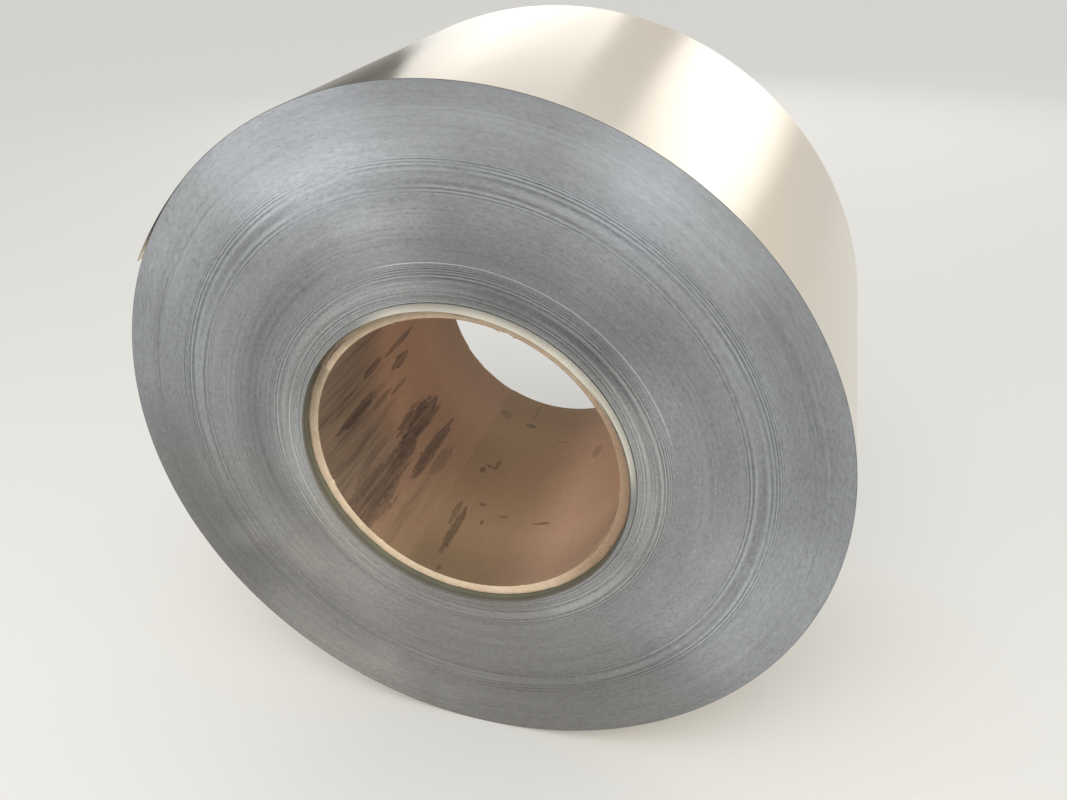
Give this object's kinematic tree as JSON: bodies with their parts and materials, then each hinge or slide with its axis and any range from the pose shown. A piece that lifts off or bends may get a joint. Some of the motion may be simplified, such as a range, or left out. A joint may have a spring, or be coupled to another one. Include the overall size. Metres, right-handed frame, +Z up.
{
  "type": "steel coil",
  "caption": "Roll of bright steel strip wound on a fibre core tube, lying on its rim, with wound ends and an open round eye.",
  "frame": {"origin": "on the floor under the middle of the roll, centred between its two ends and its two sides", "axes": "+Z up, the roll's axis along Y, its near end facing -Y"},
  "size_m": [1.185, 0.6232, 1.185],
  "materials": {
    "strip": "satin",
    "fibre_tube": "matt"
  },
  "bodies": {
    "root": {"steel_coil": "strip", "core_tube": "fibre_tube"}
  },
  "joints": []
}
